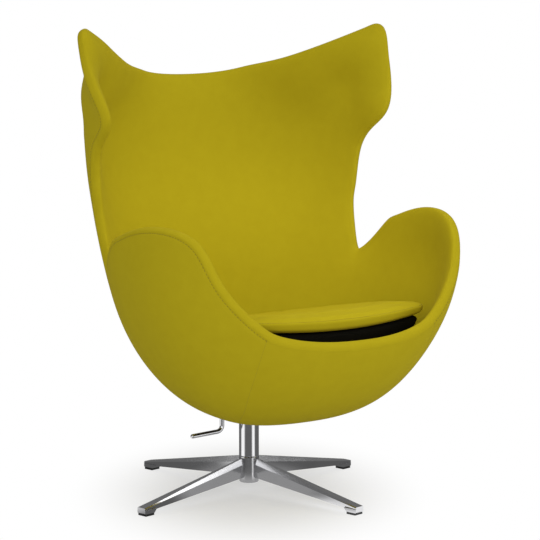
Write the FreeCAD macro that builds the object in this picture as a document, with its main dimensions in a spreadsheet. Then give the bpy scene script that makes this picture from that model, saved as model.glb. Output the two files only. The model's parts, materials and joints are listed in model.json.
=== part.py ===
"""Winged shell swivel lounge chair: upholstered moulded shell, tilt mechanism and four-legged star base.

Millimetres, +Z up. The chair faces -Y and is symmetric about X = 0. The origin is on the floor under
the middle of the chair's box, and the swivel column stands column_y behind it.
"""
import FreeCAD
import Part
import math
import os
import re

import Sketcher

from FreeCAD import Placement, Rotation, Vector

DIMENSIONS = [
    # place of the swivel column behind the origin, and the turn of the star base at rest
    ("column_y", 57.6), ("leg_turn", 13.4),
    # star base
    ("leg_reach", 342), ("leg_root", 16), ("root_top", 81), ("root_bottom", 34), ("tip_top", 18.5),
    ("tip_bottom", 8.5), ("root_side", 66), ("tip_side", 16.5),
    ("root_half_top", 2.5), ("root_half_side", 5), ("root_half_bottom", 2.5), ("tip_half_top", 11),
    ("tip_half_side", 12.5), ("tip_half_bottom", 10), ("leg_chamfer", 2), ("foot_bottom", 5), ("foot_length", 29),
    ("glide_side", 25), ("glide_radius", 327), ("screw_radius", 2.5), ("screw_head_radius", 4.5),
    ("hub_radius", 23), ("hub_bottom", 46), ("hub_top", 84), ("hub_bore", 17), ("spigot_top", 118),
    ("collar_bottom", 22), ("collar_radius", 22.5), ("collar_bore", 19.5),
    # column and bearings
    ("column_radius", 23), ("column_bore", 20), ("column_top", 196), ("running_fit", 0.05),
    ("flange_top", 199), ("washer_top", 203), ("bush_bottom", 50), ("bush_top", 112),
    ("upper_bush_bottom", 160), ("spindle_radius", 14), ("spindle_bottom", 34), ("groove_bottom", 41),
    ("groove_top", 43), ("groove_radius", 12.5), ("shoulder_radius", 22),
    # tilt housing: a channel of bent plate on top of the spindle
    ("housing_bottom", 216), ("housing_plate", 5), ("housing_half", 32), ("cheek_plate", 4),
    ("housing_front", -80), ("housing_back", 62), ("cheek_front_top", 262), ("cheek_back_top", 245),
    ("cheek_slope_start", -25), ("pivot_y", -55), ("pivot_z", 250), ("pivot_radius", 6),
    ("pivot_bush_radius", 9), ("pivot_reach", 44), ("clip_radius", 5), ("buffer_radius", 10),
    ("buffer_y", 49), ("buffer_x", 14), ("buffer_top", 250), ("sleeve_radius", 15),
    # lever: round rod, shaft across the housing, crank down and a handle outwards
    ("lever_y", 31), ("lever_z", 232), ("rod_radius", 5.2), ("bend_radius", 14), ("crank_x", -54),
    ("handle_z", 141), ("handle_length", 66), ("handle_droop", 3), ("lever_bush_radius", 7),
    ("cam_radius", 8), ("cam_throw", 1.5),
    # tilt plate and seat board
    ("plate_bottom", 276), ("plate_gauge", 5), ("plate_half", 95), ("plate_front", -125),
    ("plate_back", 45), ("ear_inside", 34), ("ear_gauge", 4), ("ear_half", 11), ("ear_bottom", 239),
    ("bolt_radius", 4), ("bolt_x", 78), ("bolt_front", -105), ("bolt_back", 28),
    ("board_bottom", 282), ("board_gauge", 12), ("nut_gauge", 2),
    # upholstered shell
    ("pad_thickness", 33), ("crest_share", 0.85), ("roll_reach", 70), ("fabric", 1.2), ("layer_gap", 0.8),
    ("core_gauge", 7), ("bowl_floor", 345), ("opening_half", 95),
    ("opening_front", -125), ("opening_back", 85),
    # seat deck and loose cushion, both sloping down to the back
    ("seat_slope", 9), ("deck_half", 240), ("deck_front", -345), ("deck_back", 62),
    ("cushion_y", -122), ("cushion_z", 392), ("cushion_half", 272), ("cushion_front", -262),
    ("cushion_back", 225), ("boxing_height", 29), ("crown_height", 21),
]

document = FreeCAD.newDocument("lounge_chair")
sheet = document.addObject("Spreadsheet::Sheet", "Dimensions")
for row, (alias, value) in enumerate(DIMENSIONS, start=1):
    sheet.set("A%d" % row, alias)
    sheet.set("B%d" % row, str(value))
    sheet.setAlias("B%d" % row, alias)
document.recompute()

SIZE = {alias: float(sheet.get(alias)) for alias, value in DIMENSIONS}
COLUMN = Placement(Vector(0, SIZE["column_y"], 0), Rotation())
ORIGIN_PLANES = {"XY": "XY_Plane", "XZ": "XZ_Plane", "YZ": "YZ_Plane"}
subparts = []


def formula(text):
    """Expression over the sheet: every dimension's word becomes a reference to its cell"""
    return re.sub(r"[a-z_]*[a-z]", lambda word: "Dimensions." + word.group(0), str(text))


def bind(item, **properties):
    for name, text in properties.items():
        item.setExpression(name.replace("__", "."), formula(text))


def keep(item, label, placement=COLUMN):
    """Names a finished sub-part and stands it on the column axis"""
    item.Label = label
    item.Placement = placement
    subparts.append(item)
    return item


# Helpers for bodies: polygons whose corners are all driven by the sheet

def plane_of(body, plane):
    for feature in body.Origin.OriginFeatures:
        if feature.Role == ORIGIN_PLANES[plane]:
            return feature


def sketch_on(body, plane, offset=0):
    sketch = body.newObject("Sketcher::SketchObject", "Sketch")
    sketch.AttachmentSupport = [(plane_of(body, plane), "")]
    sketch.MapMode = "FlatFace"
    bind(sketch, AttachmentOffset__Base__z=offset)
    return sketch


def fix_point(sketch, geometry, point, across, up):
    for kind, text in (("DistanceX", across), ("DistanceY", up)):
        index = sketch.addConstraint(Sketcher.Constraint(kind, -1, 1, geometry, point, 1.0))
        sketch.setExpression("Constraints[%d]" % index, formula(text))


def value_of(text):
    """Number that a formula gives, for a sketch's first guess"""
    expression = re.sub(r"[a-z_]*[a-z]", lambda word: repr(SIZE[word.group(0)]), str(text))
    total = 0.0
    for sign, term in re.findall(r"([+-]?)\s*([0-9.]+(?:\s*[*/]\s*[0-9.]+)*)", expression):
        product = 1.0
        for operation, number in re.findall(r"([*/]?)\s*([0-9.]+)", term):
            product = product / float(number) if operation == "/" else product * float(number)
        total += -product if sign == "-" else product
    return total


def polygon(body, plane, corners, offset=0):
    sketch = sketch_on(body, plane, offset)
    guess = [Vector(value_of(across), value_of(up), 0) for across, up in corners]
    count = len(corners)
    for i in range(count):
        sketch.addGeometry(Part.LineSegment(guess[i], guess[(i + 1) % count]))
    for i in range(count):
        sketch.addConstraint(Sketcher.Constraint("Coincident", i, 2, (i + 1) % count, 1))
    for i, (across, up) in enumerate(corners):
        fix_point(sketch, i, 1, across, up)
    return sketch


def circles(body, plane, rounds, offset=0):
    sketch = sketch_on(body, plane, offset)
    for i, (across, up, radius) in enumerate(rounds):
        centre = Vector(value_of(across), value_of(up), 0)
        sketch.addGeometry(Part.Circle(centre, Vector(0, 0, 1), value_of(radius)))
        fix_point(sketch, i, 3, across, up)
        index = sketch.addConstraint(Sketcher.Constraint("Radius", i, value_of(radius)))
        sketch.setExpression("Constraints[%d]" % index, formula(radius))
    return sketch


def new_body():
    return document.addObject("PartDesign::Body", "Body")


def revolve(body, corners):
    """Turned form about the column axis from a (radius, height) outline"""
    feature = body.newObject("PartDesign::Revolution", "Revolution")
    sketch = polygon(body, "XZ", corners)
    feature.Profile = sketch
    feature.ReferenceAxis = (sketch, ["V_Axis"])
    feature.Angle = 360
    return feature


def pad(body, sketch, length, both_ways=False):
    feature = body.newObject("PartDesign::Pad", "Pad")
    feature.Profile = sketch
    feature.Midplane = both_ways
    bind(feature, Length=length)
    return feature


def pocket(body, sketch, length, both_ways=False, upwards=False):
    feature = body.newObject("PartDesign::Pocket", "Pocket")
    feature.Profile = sketch
    feature.Midplane = both_ways
    feature.Reversed = upwards
    bind(feature, Length=length)
    return feature


def turned(label, corners):
    body = new_body()
    revolve(body, corners)
    return keep(body, label)


# Helpers for primitives

ACROSS = Rotation(Vector(0, 1, 0), 90)


def box(x0, x1, y0, y1, z0, z1):
    item = document.addObject("Part::Box", "Box")
    bind(item, Length="%s - (%s)" % (x1, x0), Width="%s - (%s)" % (y1, y0), Height="%s - (%s)" % (z1, z0))
    bind(item, Placement__Base__x=x0, Placement__Base__y=y0, Placement__Base__z=z0)
    return item


def rod(radius, length, x, y, z, rotation=Rotation()):
    item = document.addObject("Part::Cylinder", "Cylinder")
    item.Placement = Placement(Vector(), rotation)
    bind(item, Radius=radius, Height=length)
    bind(item, Placement__Base__x=x, Placement__Base__y=y, Placement__Base__z=z)
    return item


def fuse(*items):
    item = document.addObject("Part::MultiFuse", "Fuse")
    item.Shapes = list(items)
    return item


def cut(base, tool):
    item = document.addObject("Part::Cut", "Cut")
    item.Base = base
    item.Tool = tool
    return item


def ring_across(label, outside, inside, x0, x1, y, z):
    """Ring whose axis runs along X"""
    length = "%s - (%s)" % (x1, x0)
    return keep(cut(rod(outside, length, x0, y, z, ACROSS), rod(inside, length, x0, y, z, ACROSS)), label)


# Star base: turned hub with a spigot for the column, four tapering legs, each with a foot block

def leg_section(end):
    """Six-sided section at one end of a leg, widest at its side edges"""
    half_top, half_side, half_bottom = end + "_half_top", end + "_half_side", end + "_half_bottom"
    top, side, bottom = end + "_top", end + "_side", end + "_bottom"
    return [("-" + half_bottom, bottom), (half_bottom, bottom), (half_side, side),
            (half_top, top), ("-" + half_top, top), ("-" + half_side, side)]


star = new_body()
revolve(star, [("hub_bore", "hub_bottom"), ("hub_radius", "hub_bottom"), ("hub_radius", "hub_top - 2"),
               ("hub_radius - 1.5", "hub_top"), ("column_bore - 0.1", "hub_top"),
               ("column_bore - 0.1", "spigot_top"), ("hub_bore", "spigot_top")])
leg = star.newObject("PartDesign::AdditiveLoft", "Leg")
leg.Profile = polygon(star, "YZ", leg_section("root"), "leg_root + 2.5")
leg.Sections = [polygon(star, "YZ", leg_section("tip"), "leg_reach")]
foot = pad(star, polygon(star, "XZ", [
    ("leg_reach - foot_length", "foot_bottom"), ("leg_reach - 1.5", "foot_bottom"),
    ("leg_reach", "foot_bottom + 1.5"), ("leg_reach", "tip_top - leg_chamfer - 3"),
    ("leg_reach - foot_length - 7", "tip_top - leg_chamfer - 3")]), "tip_half_side * 2", both_ways=True)
foot_hole = pocket(star, circles(star, "XY", [("glide_radius", "0", "screw_radius")], "foot_bottom - 1"),
                   "8", upwards=True)
legs = star.newObject("PartDesign::PolarPattern", "Legs")
legs.Originals = [leg, foot, foot_hole]
legs.Axis = (star.Origin.OriginFeatures[2], [""])
legs.Angle = 360
legs.Occurrences = 4
star.Tip = legs
star.Tip = pocket(star, circles(star, "XY", [("0", "0", "collar_radius")]), "hub_bottom", upwards=True)
LEG_TURN = Placement(COLUMN.Base, Rotation(Vector(0, 0, 1), SIZE["leg_turn"]))
keep(star, "star_base", LEG_TURN)

for number in range(4):
    place = Placement(COLUMN.Base, Rotation(Vector(0, 0, 1), SIZE["leg_turn"] + 90 * number))
    block = box("glide_radius - glide_side / 2", "glide_radius + glide_side / 2", "-glide_side / 2",
                "glide_side / 2", "0", "foot_bottom")
    recess = fuse(rod("screw_radius", "foot_bottom", "glide_radius", "0", "0"),
                  rod("screw_head_radius", "foot_bottom - 2", "glide_radius", "0", "0"))
    keep(cut(block, recess), "glide_%d" % (number + 1), place)
    screw = fuse(rod("screw_radius", "foot_bottom + 4", "glide_radius", "0", "foot_bottom - 2"),
                 rod("screw_head_radius", "2", "glide_radius", "0", "foot_bottom - 4"))
    keep(screw, "glide_screw_%d" % (number + 1), place)

turned("hub_collar", [
    ("collar_bore", "collar_bottom + 1"), ("collar_bore + 1", "collar_bottom"),
    ("collar_radius - 1.2", "collar_bottom + 0.3"), ("collar_radius - 0.3", "collar_bottom + 1.2"),
    ("collar_radius", "collar_bottom + 2.5"), ("collar_radius", "hub_bottom"), ("collar_bore", "hub_bottom")])

# Swivel column

turned("column_tube", [
    ("column_bore", "hub_top"), ("column_radius - 1", "hub_top"), ("column_radius", "hub_top + 1"),
    ("column_radius", "column_top - 1"), ("column_radius - 1", "column_top"), ("column_bore", "column_top")])
turned("lower_bush", [
    ("spindle_radius + running_fit", "bush_bottom"), ("hub_bore", "bush_bottom"),
    ("hub_bore", "bush_top"), ("spindle_radius + running_fit", "bush_top")])
turned("upper_bush", [
    ("spindle_radius + running_fit", "upper_bush_bottom"), ("column_bore", "upper_bush_bottom"),
    ("column_bore", "column_top"), ("shoulder_radius", "column_top"), ("shoulder_radius", "flange_top"),
    ("spindle_radius + running_fit", "flange_top")])
turned("thrust_washer", [
    ("spindle_radius + 1", "flange_top"), ("shoulder_radius", "flange_top"),
    ("shoulder_radius", "washer_top"), ("spindle_radius + 1", "washer_top")])

turned("spindle", [
    ("0", "spindle_bottom"), ("spindle_radius - 1.5", "spindle_bottom"),
    ("spindle_radius", "spindle_bottom + 1.5"), ("spindle_radius", "groove_bottom"),
    ("groove_radius", "groove_bottom"), ("groove_radius", "groove_top"), ("spindle_radius", "groove_top"),
    ("spindle_radius", "washer_top + 0.1"), ("shoulder_radius", "washer_top + 0.1"),
    ("shoulder_radius", "housing_bottom"), ("spindle_radius", "housing_bottom"),
    ("spindle_radius", "housing_bottom + 20"), ("0", "housing_bottom + 20")])
turned("spindle_clip", [
    ("groove_radius", "groove_bottom + 0.2"), ("groove_radius + 4.5", "groove_bottom + 0.2"),
    ("groove_radius + 4.5", "groove_top - 0.2"), ("groove_radius", "groove_top - 0.2")])
turned("clip_washer", [
    ("spindle_radius + 0.1", "groove_top"), ("collar_bore - 1", "groove_top"),
    ("collar_bore - 1", "hub_bottom - 0.6"), ("spindle_radius + 0.1", "hub_bottom - 0.6")])

# Tilt housing: channel with cheeks that fall to the back, bored for the pivot pin and the lever shaft

housing = new_body()
pad(housing, polygon(housing, "XZ", [
    ("-housing_half", "housing_bottom"), ("housing_half", "housing_bottom"),
    ("housing_half", "cheek_front_top"), ("housing_half - cheek_plate", "cheek_front_top"),
    ("housing_half - cheek_plate", "housing_bottom + housing_plate"),
    ("cheek_plate - housing_half", "housing_bottom + housing_plate"),
    ("cheek_plate - housing_half", "cheek_front_top"), ("-housing_half", "cheek_front_top")],
    "-housing_back"), "housing_back - housing_front")
pocket(housing, polygon(housing, "YZ", [
    ("cheek_slope_start", "cheek_front_top + 1"), ("cheek_slope_start", "cheek_front_top"),
    ("housing_back + 1", "cheek_back_top"), ("housing_back + 1", "cheek_front_top + 1")]),
    "housing_half * 3", both_ways=True)
pocket(housing, circles(housing, "YZ", [("pivot_y", "pivot_z", "pivot_bush_radius"),
                                        ("lever_y", "lever_z", "lever_bush_radius")]),
       "housing_half * 3", both_ways=True)
pocket(housing, circles(housing, "XY", [("0", "0", "spindle_radius")], "housing_bottom - 1"),
       "housing_plate + 2", upwards=True)
keep(housing, "tilt_housing")

for side, sign in (("left", "-1 * "), ("right", "")):
    inner, outer = "housing_half - cheek_plate", "housing_half + 0.8"
    start, end = (inner, outer) if side == "right" else ("-1 * housing_half - 0.8", "cheek_plate - housing_half")
    ring_across("pivot_bush_" + side, "pivot_bush_radius", "pivot_radius + running_fit", start, end,
                "pivot_y", "pivot_z")
    ring_across("lever_bush_" + side, "lever_bush_radius", "rod_radius + running_fit", start, end,
                "lever_y", "lever_z")
    buffer_spot = (sign + "buffer_x", "buffer_y", "housing_bottom + housing_plate")
    buffer_height = "buffer_top - housing_bottom - housing_plate"
    keep(cut(rod("buffer_radius", buffer_height, *buffer_spot), rod("buffer_radius / 2", buffer_height, *buffer_spot)),
         "tilt_buffer_" + side)
ring_across("torsion_sleeve", "sleeve_radius", "pivot_radius + 0.4", "cheek_plate - housing_half + 1",
            "housing_half - cheek_plate - 1", "pivot_y", "pivot_z")

# Lever rod: shaft, bend, crank, bend, drooping handle with a rounded end

def bend(x, z, first_angle, sweep):
    """Part of a ring in the XZ plane, from first_angle above +X"""
    item = document.addObject("Part::Torus", "Bend")
    upright = Rotation(Vector(1, 0, 0), 90)
    item.Placement = Placement(Vector(), upright.multiply(Rotation(Vector(0, 0, 1), first_angle)))
    bind(item, Radius1="bend_radius", Radius2="rod_radius", Angle3=sweep)
    bind(item, Placement__Base__x=x, Placement__Base__y="lever_y", Placement__Base__z=z)
    return item


droop = math.radians(SIZE["handle_droop"])
handle_x = "crank_x - bend_radius + bend_radius * %.9f" % math.sin(droop)
handle_z = "handle_z + bend_radius - bend_radius * %.9f" % math.cos(droop)
outwards = Rotation(Vector(0, 0, 1), Vector(-math.cos(droop), 0, -math.sin(droop)))
handle_end = document.addObject("Part::Sphere", "HandleEnd")
bind(handle_end, Radius="rod_radius",
     Placement__Base__x=handle_x + " - handle_length * %.9f" % math.cos(droop), Placement__Base__y="lever_y",
     Placement__Base__z=handle_z + " - handle_length * %.9f" % math.sin(droop))
keep(fuse(rod("rod_radius", "housing_half + 6 - crank_x - bend_radius", "crank_x + bend_radius", "lever_y",
              "lever_z", ACROSS),
          bend("crank_x + bend_radius", "lever_z - bend_radius", 90, "90"),
          rod("rod_radius", "lever_z - handle_z - 2 * bend_radius", "crank_x", "lever_y", "handle_z + bend_radius"),
          bend("crank_x - bend_radius", "handle_z + bend_radius", SIZE["handle_droop"] - 90,
               "90 - handle_droop"),
          rod("rod_radius", "handle_length", handle_x, "lever_y", handle_z, outwards), handle_end), "lever_rod")
keep(cut(rod("cam_radius", "6", "-3", "lever_y", "lever_z + cam_throw", ACROSS),
         rod("rod_radius", "6", "-3", "lever_y", "lever_z", ACROSS)), "lever_cam")
ring_across("lever_clip", "rod_radius + 3", "rod_radius", "housing_half + 1.5", "housing_half + 3", "lever_y",
            "lever_z")

# Tilt plate with two ears on the pivot pin, bolted to the seat board

plate = box("-plate_half", "plate_half", "plate_front", "plate_back", "plate_bottom", "plate_bottom + plate_gauge")
ears = [box(x, x + " + ear_gauge", "pivot_y - ear_half", "pivot_y + ear_half", "ear_bottom", "plate_bottom")
        for x in ("ear_inside", "0 - ear_inside - ear_gauge")]
BOLTS = [(x, y) for x in ("-1 * bolt_x", "bolt_x") for y in ("bolt_front", "bolt_back")]
drilled = [rod("bolt_radius", "plate_gauge + 2", x, y, "plate_bottom - 1") for x, y in BOLTS]
pin_bore = rod("pivot_radius", "pivot_reach * 2", "-pivot_reach", "pivot_y", "pivot_z", ACROSS)
keep(cut(fuse(plate, *ears), fuse(pin_bore, *drilled)), "tilt_plate")

shaft_length = "ear_inside + ear_gauge"
keep(fuse(rod("pivot_radius", "2 * (%s)" % shaft_length, "0 - ear_inside - ear_gauge", "pivot_y", "pivot_z", ACROSS),
          rod("clip_radius", "2 * pivot_reach", "-pivot_reach", "pivot_y", "pivot_z", ACROSS)), "pivot_pin")
ring_across("pivot_clip_right", "pivot_radius + 3", "clip_radius", shaft_length, shaft_length + " + 1.5",
            "pivot_y", "pivot_z")
ring_across("pivot_clip_left", "pivot_radius + 3", "clip_radius", "0 - ear_inside - ear_gauge - 1.5",
            "0 - ear_inside - ear_gauge", "pivot_y", "pivot_z")
board_top = "board_bottom + board_gauge"
for number, (x, y) in enumerate(BOLTS, start=1):
    keep(fuse(rod("bolt_radius", board_top + " + nut_gauge - plate_bottom", x, y, "plate_bottom"),
              rod("bolt_radius * 1.75", "5", x, y, "plate_bottom - 5")), "plate_bolt_%d" % number)
    keep(cut(rod("bolt_radius * 2.75", "nut_gauge", x, y, board_top), rod("bolt_radius", "nut_gauge", x, y, board_top)),
         "plate_nut_%d" % number)

# Form of the shell. Five rails over the height give the back line, the depth over which the back wraps
# into the side, the half width, the flare and the front line (virtual above the lip), and how far the
# section opens into a shallow V at the top. Below the girdle the sections shrink into a rounded bottom.

RAIL_HEIGHTS = [400, 560, 720, 900, 1080]
RAILS = {
    "back": [197.5, 242, 277.5, 287, 301],
    "wrap": [321, 327, 268, 229.5, 211],
    "half": [336, 357, 361, 337, 253],
    "flare": [0.04, 0.083, 0.043, 0.146, 0.4],
    "front": [-458, -494.5, -521, -482, -499],
    "vee": [0, 0, 0, 0.127, 1.16],
}
GIRDLE, BOTTOM, BOTTOM_Y = 492, 187, -100
CAP_FULLNESS, SIDE_FULLNESS = 2.565, 2.377
VEE_SLOPE, VEE_ROUND = 0.622, 17.5

# Swell at the back of each wing: its size, its middle in turn and height, and its spread in both
SWELL, SWELL_TURN, SWELL_Z, SWELL_WIDTH, SWELL_RISE = 23.5, 59.5, 941, 10.7, 70.5

# Seam line of the rim: turn in degrees from the back round the side to the front, and height
RIM = [(0, 938.5), (20.7, 954.5), (26.6, 963), (40.6, 982), (55, 1016), (65.2, 1050), (66.7, 1053.5),
       (69.8, 1000.5), (74.5, 923), (75.3, 870), (67.7, 830.5), (60.6, 779), (57.2, 693), (56, 656),
       (57, 576.5), (61.4, 521.5), (76.8, 599), (81.5, 614.5), (97, 643.5), (120.8, 625.5), (132.1, 545.5),
       (148.2, 437), (153.9, 417.5), (180, 395)]
EAR, NOTCH = 6, 14  # stations at the ear tip and at the corner between wing and arm


def smooth_curve(knots, values):
    """Natural cubic curve through the values; its end pieces carry on beyond the end knots"""
    last = len(knots) - 1
    step = [knots[i + 1] - knots[i] for i in range(last)]
    upper, right, bending = [0.0] * (last + 1), [0.0] * (last + 1), [0.0] * (last + 1)
    for i in range(1, last):
        change = 6 * ((values[i + 1] - values[i]) / step[i] - (values[i] - values[i - 1]) / step[i - 1])
        pivot = 2 * (step[i - 1] + step[i]) - step[i - 1] * upper[i - 1]
        upper[i] = step[i] / pivot
        right[i] = (change - step[i - 1] * right[i - 1]) / pivot
    for i in range(last - 1, 0, -1):
        bending[i] = right[i] - upper[i] * bending[i + 1]

    def curve(x):
        i = 0
        while i < last - 1 and x > knots[i + 1]:
            i += 1
        a = (knots[i + 1] - x) / step[i]
        b = (x - knots[i]) / step[i]
        swell = (a ** 3 - a) * bending[i] + (b ** 3 - b) * bending[i + 1]
        return a * values[i] + b * values[i + 1] + swell * step[i] ** 2 / 6
    return curve


rail = {name: smooth_curve(RAIL_HEIGHTS, values) for name, values in RAILS.items()}


def shrink_at(z):
    """Share of the full section at a height: 1 above the girdle, 0 at the bottom"""
    if z >= GIRDLE:
        return 1.0
    drop = min(1.0, (GIRDLE - z) / (GIRDLE - BOTTOM))
    return (1 - drop ** CAP_FULLNESS) ** (1 / CAP_FULLNESS)


def shell_point(turn, z):
    """Point of the outer face; turn 0 is the middle of the back, 180 the middle of the front"""
    shrink = shrink_at(z)
    back = BOTTOM_Y + (rail["back"](z) - BOTTOM_Y) * shrink
    front = BOTTOM_Y + (rail["front"](z) - BOTTOM_Y) * shrink
    wrap = rail["wrap"](z) * shrink
    depth = (back - front) * (1 - math.cos(math.radians(turn))) / 2
    behind = min(1.0, depth / wrap)
    ahead = min(1.0, (back - front - depth) / (back - front - wrap))
    full = (1 - (1 - behind) ** SIDE_FULLNESS) * (1 - (1 - ahead) ** SIDE_FULLNESS)
    bowl = full ** (1 / SIDE_FULLNESS) * (rail["half"](z) * shrink + rail["flare"](z) * depth)
    vee = math.sqrt((depth / VEE_SLOPE) ** 2 + 2 * VEE_ROUND * depth / VEE_SLOPE)
    share = min(1.0, max(0.0, rail["vee"](max(z, RAIL_HEIGHTS[0]))))
    side = 1 if math.sin(math.radians(turn)) >= 0 else -1
    off_turn = (abs((turn + 180) % 360 - 180) - SWELL_TURN) / SWELL_WIDTH
    swell = SWELL * math.exp(-off_turn ** 2 - ((z - SWELL_Z) / SWELL_RISE) ** 2)
    x = side * ((1 - share) * bowl + share * vee + 0.85 * swell)
    return Vector(x, back - depth + 0.53 * swell, z)


def outward(turn, z):
    """Unit normal of the outer face"""
    along = shell_point(turn + 0.05, z) - shell_point(turn - 0.05, z)
    up = shell_point(turn, z + 1) - shell_point(turn, max(z - 1, BOTTOM + 0.01))
    normal = up.cross(along)
    return normal.normalize()


def layer_point(turn, z, inset):
    return shell_point(turn, z) - outward(turn, z) * inset


def build_rim():
    """Closed seam curve: parameters of the stations and the smooth curves of turn and height"""
    loop = RIM + [(360 - turn, z) for turn, z in reversed(RIM[:-1])]
    places = [shell_point(turn, z) for turn, z in loop]
    knots = [0.0]
    for one, two in zip(places, places[1:]):
        knots.append(knots[-1] + one.distanceToPoint(two) ** 0.6)
    total = knots[-1]
    ghosts = 8
    before = [(turn - 360, z) for turn, z in loop[-1 - ghosts:-1]]
    after = [(turn + 360, z) for turn, z in loop[1:1 + ghosts]]
    stations = before + loop + after
    spread = [k - total for k in knots[-1 - ghosts:-1]] + knots + [k + total for k in knots[1:1 + ghosts]]
    turns = smooth_curve(spread, [turn for turn, z in stations])
    heights = smooth_curve(spread, [z for turn, z in stations])

    def turn_at(place):
        if place < 0:
            return -turn_at(-place)
        return turns(place) if place <= total / 2 else 360 - turns(total - place)

    def height_at(place):
        return heights(min(abs(place), total - abs(place)))
    return knots, total, turn_at, height_at


rim_knots, rim_total, rim_turn, rim_height = build_rim()
at_ear, at_notch = rim_knots[EAR], rim_knots[NOTCH]
notch_turn, notch_z = RIM[NOTCH]


def rim_frame(place):
    """Seam point, outward normal, and the direction in which the rim stands beyond the seam"""
    turn, z = rim_turn(place), rim_height(place)
    normal = outward(turn, z)
    ahead, behind = place + 0.02, place - 0.02
    along = shell_point(rim_turn(ahead), rim_height(ahead)) - shell_point(rim_turn(behind), rim_height(behind))
    return shell_point(turn, z), normal, along.cross(normal).normalize()


# Spline faces: cubic, evenly knotted, through a grid of points, so that neighbours share their edges

DEGREE = 3
inverse_tables = {}


def even_knots(count):
    spans = count - DEGREE
    return [0.0] * DEGREE + [i / spans for i in range(spans + 1)] + [1.0] * DEGREE


def sample_places(count):
    """Parameters at which a grid of this many points is taken"""
    knots = even_knots(count)
    return [sum(knots[i + 1:i + 1 + DEGREE]) / DEGREE for i in range(count)]


def blending_row(count, place):
    knots = even_knots(count)
    span = DEGREE
    while span < count - 1 and place >= knots[span + 1]:
        span += 1
    row = [0.0] * (count + DEGREE + 1)
    row[span] = 1.0
    for degree in range(1, DEGREE + 1):
        for i in range(span - degree, span + 1):
            low = knots[i + degree] - knots[i]
            high = knots[i + degree + 1] - knots[i + 1]
            first = (place - knots[i]) / low * row[i] if low > 0 else 0.0
            second = (knots[i + degree + 1] - place) / high * row[i + 1] if high > 0 else 0.0
            row[i] = first + second
    return row[:count]


def inverse_table(count):
    """Matrix that turns points to be passed through into control points"""
    if count not in inverse_tables:
        rows = [blending_row(count, place) for place in sample_places(count)]
        work = [row + [1.0 if i == j else 0.0 for j in range(count)] for i, row in enumerate(rows)]
        for i in range(count):
            scale = work[i][i]
            work[i] = [entry / scale for entry in work[i]]
            for j in range(count):
                factor = work[j][i]
                if j != i and factor != 0.0:
                    work[j] = [a - factor * b for a, b in zip(work[j], work[i])]
        inverse_tables[count] = [row[count:] for row in work]
    return inverse_tables[count]


def control_points(points):
    result = []
    for row in inverse_table(len(points)):
        total = Vector()
        for factor, point in zip(row, points):
            if abs(factor) > 1e-9:
                total += point * factor
        result.append(total)
    return result


def spline_face(grid):
    rows = [control_points(row) for row in grid]
    columns = [control_points(list(column)) for column in zip(*rows)]
    poles = [list(row) for row in zip(*columns)]
    surface = Part.BSplineSurface()
    knots = [even_knots(n)[DEGREE:-DEGREE] for n in (len(poles), len(poles[0]))]
    mults = [[DEGREE + 1] + [1] * (len(k) - 2) + [DEGREE + 1] for k in knots]
    surface.buildFromPolesMultsKnots(poles, mults[0], mults[1], knots[0], knots[1], False, False, DEGREE, DEGREE)
    return surface.toShape()


def strip(first, second):
    """Straight strip between two rows of points"""
    return spline_face([[one + (two - one) * w for w in sample_places(4)] for one, two in zip(first, second)])


def flat_face(*rows):
    """Plane bounded by the closed chain of spline edges through rows of points"""
    edges = []
    for row in rows:
        curve = Part.BSplineCurve()
        knots = even_knots(len(row))[DEGREE:-DEGREE]
        mults = [DEGREE + 1] + [1] * (len(knots) - 2) + [DEGREE + 1]
        curve.buildFromPolesMultsKnots(control_points(row), mults, knots, False, DEGREE)
        edges.append(curve.toShape())
    return Part.Face(Part.Wire(edges))


# The shell's surface is cut into three fields. The back field lies between the wings above the notches,
# the lower back field under it, and the front field runs from notch to notch under the arms and the lip.

BACK_COUNT, WING_COUNT, ARM_COUNT, DROP_COUNT, BAND_COUNT = 35, 25, 91, 15, 11
PAD_HALF = SIZE["pad_thickness"] / 2
PAD_CREST = SIZE["crest_share"] * PAD_HALF


def spread(start, end, count):
    return [start + (end - start) * place for place in sample_places(count)]


top_places = spread(-at_ear, at_ear, BACK_COUNT)
wing_places = spread(at_notch, at_ear, WING_COUNT)
arm_places = spread(at_notch, rim_total - at_notch, ARM_COUNT)
back_turns = spread(-notch_turn, notch_turn, BACK_COUNT)
arm_turns = [rim_turn(place) for place in arm_places]
RIM_PLACES = [top_places, wing_places, [rim_total - place for place in wing_places], arm_places]
SEAM_POINTS = [shell_point(rim_turn(rim_total * i / 1200), rim_height(rim_total * i / 1200)) for i in range(1200)]


def back_field():
    """(turn, height) grid of the back field, blended between its four edges"""
    grid = []
    wing = [(rim_turn(place), rim_height(place)) for place in wing_places]
    ear_turn, ear_z = RIM[EAR]
    for place, bottom_turn, across in zip(top_places, back_turns, spread(-1, 1, BACK_COUNT)):
        top = (rim_turn(place), rim_height(place))
        side = 1 if across >= 0 else -1
        weight = across ** 2
        row = []
        for (wing_turn, wing_z), up in zip(wing, spread(0, 1, WING_COUNT)):
            turn_gap = wing_turn - (notch_turn + (ear_turn - notch_turn) * up)
            z_gap = wing_z - (notch_z + (ear_z - notch_z) * up)
            turn = bottom_turn * (1 - up) + top[0] * up + side * weight * turn_gap
            row.append((turn, notch_z * (1 - up) + top[1] * up + weight * z_gap))
        grid.append(row)
    return grid


BACK_FIELD = back_field()


def in_opening(point):
    """Below 1 inside the opening round the column"""
    middle = (SIZE["opening_front"] + SIZE["opening_back"]) / 2
    reach = (SIZE["opening_back"] - SIZE["opening_front"]) / 2
    return abs(point.x / SIZE["opening_half"]) ** 2.6 + abs((point.y - middle) / reach) ** 2.6


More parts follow.
